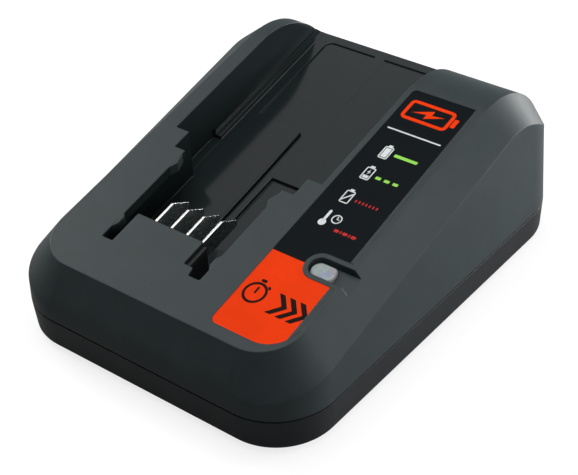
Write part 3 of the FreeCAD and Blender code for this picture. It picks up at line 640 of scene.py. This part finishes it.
class CHARGER_OT_trim(Piece, bpy.types.Operator):
    """Adds the deck's plain margin beside the films and the catches in the battery opening"""

    bl_idname = "charger.trim"
    bl_label = "Deck margin and catches"

    def execute(self, context):
        shell, _, _ = self.settings(context)
        plastic = moulded_plastic("trim_plastic", tuple(shell.upper_colour), shell.grain)
        beside_black = [(43.75, 39.3), (44.6, 38.9), (45.2, 38.2), (46.45, -29.5), (44.95, -29.5)]
        beside_orange = [(45.05, -39.7), (46.6, -39.7), (46.9, -56.8), (46.4, -58.8), (45.8, -60.1),
                         (45.3, -60.9), (45.35, -58.0), (45.3, -54.0)]
        flush = on_deck(LABEL_SINK)
        margin = print_piece("deck_margin", [[beside_black], [beside_orange]], flush, 0.2 * MM)
        finish_piece(margin, plastic, "shell_upper")
        rear_catch = ((19.95, -16.2), (19.7, -16.7), (18.5, -20.3), (19.95, -23.1))
        front_catch = ((19.95, -44.5), (18.8, -46.0), (18.8, -48.7), (19.95, -50.9))
        lip_thickness = 3.2 * MM
        catches = []
        for side in (1, -1):
            for outline in (rear_catch, front_catch):
                loop = [(BAY_CENTRE_X / MM + side * across, y) for across, y in outline]
                catches.append([loop if side < 0 else list(reversed(loop))])
        just_below_deck = on_deck(LABEL_SINK - 0.03 * MM)
        nubs = print_piece("opening_catches", catches, just_below_deck, lip_thickness)
        finish_piece(nubs, plastic, "shell_upper")
        return {"FINISHED"}


class CHARGER_OT_window(Piece, bpy.types.Operator):
    """Finishes the status window, its diode and the gland"""

    bl_idname = "charger.window"
    bl_label = "Window and small trim"

    def execute(self, context):
        dress_node("led_lens", clear_window("window_plastic", (0.58, 0.65, 0.68)))
        dress_node("status_led", printed_film("diode_case", (0.75, 0.74, 0.6), 0.35))
        dress_node("cord_gland", rubber("gland_rubber", (0.02, 0.021, 0.022)))
        dress_node("rubber_feet", rubber("foot_rubber", (0.03, 0.03, 0.032)))
        return {"FINISHED"}


class CHARGER_OT_contacts(Piece, bpy.types.Operator):
    """Finishes the contact blades, their block and the screws"""

    bl_idname = "charger.contacts"
    bl_label = "Contacts"

    def execute(self, context):
        plating = bright_metal("blade_plating", (0.86, 0.86, 0.84), 0.25)
        pitch = 6.4 * MM
        for index, name in enumerate(("positive", "sense", "identity", "negative")):
            longer = 0.9 if name == "negative" else 0.0
            blade = self.make_blade("blade_" + name, BAY_CENTRE_X + (index - 1.5) * pitch, longer)
            finish_piece(blade, plating, "blade_metal", "contact_" + name)
        block = moulded_plastic("block_plastic", (0.03, 0.032, 0.034), 0.25 * MM)
        dress_node("terminal_block", block)
        steel = bright_metal("screw_zinc", (0.42, 0.42, 0.41), 0.35)
        for node in ("housing_screws", "board_screws"):
            dress_node(node, steel)
        return {"FINISHED"}

    def make_blade(self, name, x, longer):
        """A flat blade: its tail in the block, and a tongue that slopes down at its rear end."""
        root, end = -42.8, -33.2 + longer
        half_thickness = 0.4 * MM
        below_labels, height = 1.6, 6.8
        block_inner, block_outer, tail_end = -46.8, -49.8, 8.0

        def rail_z(y, below):
            return label_z(y * MM) / MM - below

        top = [(y, rail_z(y, below_labels)) for y in (root, end)]
        tip = (end + 6.8, top[1][1] - 3.4)
        low = [(y, rail_z(y, below_labels + height)) for y in (end + 6.2, block_inner)]
        tail = [(block_inner, tail_end), (block_outer, tail_end), (block_outer, 32.5)]
        outline = [*top, tip, *low, *tail, (root, 34.1)]
        loops = [[(x + side * half_thickness, y * MM, z * MM) for y, z in outline] for side in (-1, 1)]
        mesh = bmesh.new()
        bridge(mesh, *loops)
        bmesh.ops.bevel(mesh, geom=mesh.edges[:], offset=0.1 * MM, segments=2, profile=0.5, affect="EDGES")
        return mesh_object(name, mesh)


class CHARGER_OT_electronics(Piece, bpy.types.Operator):
    """Finishes the board and everything on it"""

    bl_idname = "charger.electronics"
    bl_label = "Board and components"

    def execute(self, context):
        finishes = {
            board_laminate("board_mask", (0.012, 0.10, 0.035)): ("circuit_board",),
            moulded_plastic("ferrite", (0.05, 0.05, 0.055), roughness=0.65): (
                "transformer_core", "choke_core"),
            moulded_plastic("bobbin_plastic", (0.07, 0.06, 0.05)): ("transformer_bobbin",),
            printed_film("winding_tape", (0.70, 0.48, 0.05)): ("transformer_winding",),
            bright_metal("enamelled_copper", (0.60, 0.24, 0.07), 0.35): ("choke_winding",),
            printed_film("can_sleeve", (0.012, 0.02, 0.05)): ("input_capacitor", "output_capacitors"),
            moulded_plastic("film_box", (0.62, 0.45, 0.03)): ("filter_capacitor",),
            moulded_plastic("chip_epoxy", (0.02, 0.02, 0.022)): (
                "bridge_rectifier", "switching_transistor", "output_diode", "controller_chip", "optocoupler"),
            clear_window("fuse_glass", (0.75, 0.78, 0.78)): ("input_fuse",),
            moulded_plastic("connector_nylon", (0.74, 0.73, 0.68)): ("mains_terminals",),
            bright_metal("sink_aluminium", (0.68, 0.69, 0.70), 0.4): (
                "primary_heat_sink", "secondary_heat_sink"),
        }
        for material, nodes in finishes.items():
            for node in nodes:
                dress_node(node, material)
        return {"FINISHED"}


# Stage

GLOSS_SHARE = 0.1
FLOOR_GLOW = 0.80


def pale_floor(name, colour, glow):
    """Pale floor that keeps shadows and glows a little towards the camera, glass and gloss."""
    finish = Finish(name)
    speckle = finish.noise(0.02, 2.0)
    base = finish.mix(speckle, scaled(colour, 0.98), colour)
    seen = seen_share(finish)
    shown = finish.mix(seen, (0.0, 0.0, 0.0), (1.0, 1.0, 1.0))
    return finish.shade(base, speckle * 0.05 + 0.85, Emission_Color=shown, Emission_Strength=glow)


def seen_share(finish):
    """1 for the camera and through glass, less in gloss and 0 for the light that lamps spread."""
    camera = finish.node("ShaderNodeLightPath", output="Is Camera Ray")
    glossy = Level(finish, finish.last.outputs["Is Glossy Ray"])
    glass = Level(finish, finish.last.outputs["Is Transmission Ray"])
    return camera + glass + glossy * GLOSS_SHARE


class CHARGER_OT_stage(Piece, bpy.types.Operator):
    """Makes the floor, lamps, world and camera"""

    bl_idname = "charger.stage"
    bl_label = "Stage"

    def execute(self, context):
        _, _, stage = self.settings(context)
        self.make_floor()
        self.make_world(context.scene)
        lamps = (
            ("overhead", (0.0, 0.0, 0.8), (0.6, 0.6), 4.1),
            ("high_rear_left", (-0.42, 0.23, 0.64), (0.5, 0.5), 0.65),
            ("right_side", (0.8, 0.0, 0.3), (0.4, 0.4), 1.2),
            ("near_right", (0.36, 0.30, 0.13), (0.25, 0.25), 0.85),
            ("left_side", (-0.8, 0.05, 0.4), (0.4, 0.4), 3.8),
            ("low_rear", (0.2, 0.85, 0.1), (0.6, 0.2), 4.6),
            ("low_rear_corner", (0.55, 0.7, 0.1), (0.3, 0.2), 3.6),
        )
        for name, place, size, power in lamps:
            self.make_lamp(name, Vector(place), size, power)
        self.make_camera(context.scene, stage)
        context.scene.view_settings.view_transform = "Standard"
        return {"FINISHED"}

    def make_floor(self):
        mesh = bmesh.new()
        half = 3.0
        plan = ((-half, -half), (half, -half), (half, half), (-half, half))
        mesh.faces.new([mesh.verts.new((x, y, 0.0)) for x, y in plan])
        floor = mesh_object("floor", mesh)
        floor.data.materials.append(pale_floor("floor_paint", (0.25, 0.25, 0.25), FLOOR_GLOW))

    def make_world(self, scene):
        world = bpy.data.worlds.new("studio")
        world.use_nodes = True
        tree = world.node_tree
        tree.nodes.clear()
        output = tree.nodes.new("ShaderNodeOutputWorld")
        path = tree.nodes.new("ShaderNodeLightPath")
        glossy = tree.nodes.new("ShaderNodeMath")
        glossy.operation = "MULTIPLY_ADD"
        glossy.inputs[1].default_value = GLOSS_SHARE
        seen = tree.nodes.new("ShaderNodeMath")
        seen.operation = "ADD"
        ambient = tree.nodes.new("ShaderNodeBackground")
        ambient.inputs["Strength"].default_value = 0.0
        white = tree.nodes.new("ShaderNodeBackground")
        white.inputs["Color"].default_value = (1.0, 1.0, 1.0, 1.0)
        mix = tree.nodes.new("ShaderNodeMixShader")
        links = tree.links
        links.new(path.outputs["Is Glossy Ray"], glossy.inputs[0])
        links.new(path.outputs["Is Camera Ray"], glossy.inputs[2])
        links.new(glossy.outputs[0], seen.inputs[0])
        links.new(path.outputs["Is Transmission Ray"], seen.inputs[1])
        links.new(seen.outputs[0], mix.inputs[0])
        links.new(ambient.outputs[0], mix.inputs[1])
        links.new(white.outputs[0], mix.inputs[2])
        links.new(mix.outputs[0], output.inputs["Surface"])
        scene.world = world

    def make_lamp(self, name, place, size, power):
        data = bpy.data.lights.new(name, "AREA")
        data.shape = "RECTANGLE"
        data.size, data.size_y = size
        data.energy = power
        lamp = new_object(name, data)
        aim = Vector((0.0, 0.0, 0.03)) - place
        lamp.matrix_world = Matrix.Translation(place) @ aim.to_track_quat("-Z", "Y").to_matrix().to_4x4()

    def make_camera(self, scene, stage):
        azimuth, elevation, roll = stage.azimuth, stage.elevation, stage.roll
        back = Vector((math.sin(azimuth) * math.cos(elevation), -math.cos(azimuth) * math.cos(elevation),
                       math.sin(elevation)))
        right = Vector((math.cos(azimuth), math.sin(azimuth), 0.0))
        up = back.cross(right)
        turned_right = right * math.cos(roll) - up * math.sin(roll)
        turned_up = right * math.sin(roll) + up * math.cos(roll)
        data = bpy.data.cameras.new("photograph_view")
        data.sensor_width = 36.0
        data.lens = stage.lens
        data.shift_x = -0.0002
        data.shift_y = -0.0101
        data.clip_start = 0.01
        camera = new_object("photograph_view", data)
        matrix = Matrix((turned_right, turned_up, back)).transposed().to_4x4()
        camera.matrix_world = Matrix.Translation(Vector(stage.place)) @ matrix
        scene.camera = camera


class CHARGER_PT_sidebar(bpy.types.Panel):
    """Lists the charger's pieces in the sidebar"""

    bl_idname = "CHARGER_PT_sidebar"
    bl_label = "Battery charger"
    bl_space_type = "VIEW_3D"
    bl_region_type = "UI"
    bl_category = "Charger"

    def draw(self, context):
        for operator in OPERATORS:
            self.layout.operator(operator.bl_idname)
        for group in (context.scene.charger_shell, context.scene.charger_panel, context.scene.charger_stage):
            box = self.layout.box()
            for name in group.__annotations__:
                box.prop(group, name)


OPERATORS = (
    CHARGER_OT_shells, CHARGER_OT_labels, CHARGER_OT_trim, CHARGER_OT_window, CHARGER_OT_contacts,
    CHARGER_OT_electronics, CHARGER_OT_stage,
)
GROUPS = (
    (CHARGER_PG_shell, "charger_shell"),
    (CHARGER_PG_panel, "charger_panel"),
    (CHARGER_PG_stage, "charger_stage"),
)


def register():
    for group, name in GROUPS:
        bpy.utils.register_class(group)
        setattr(bpy.types.Scene, name, bpy.props.PointerProperty(type=group))
    for item in (*OPERATORS, CHARGER_PT_sidebar):
        bpy.utils.register_class(item)


def unregister():
    for item in reversed((*OPERATORS, CHARGER_PT_sidebar)):
        bpy.utils.unregister_class(item)
    for group, name in reversed(GROUPS):
        delattr(bpy.types.Scene, name)
        bpy.utils.unregister_class(group)


def main():
    register()
    bpy.ops.charger.shells()
    bpy.ops.charger.labels()
    bpy.ops.charger.trim()
    bpy.ops.charger.window()
    bpy.ops.charger.contacts()
    bpy.ops.charger.electronics()
    bpy.ops.charger.stage()


if __name__ == "__main__":
    main()
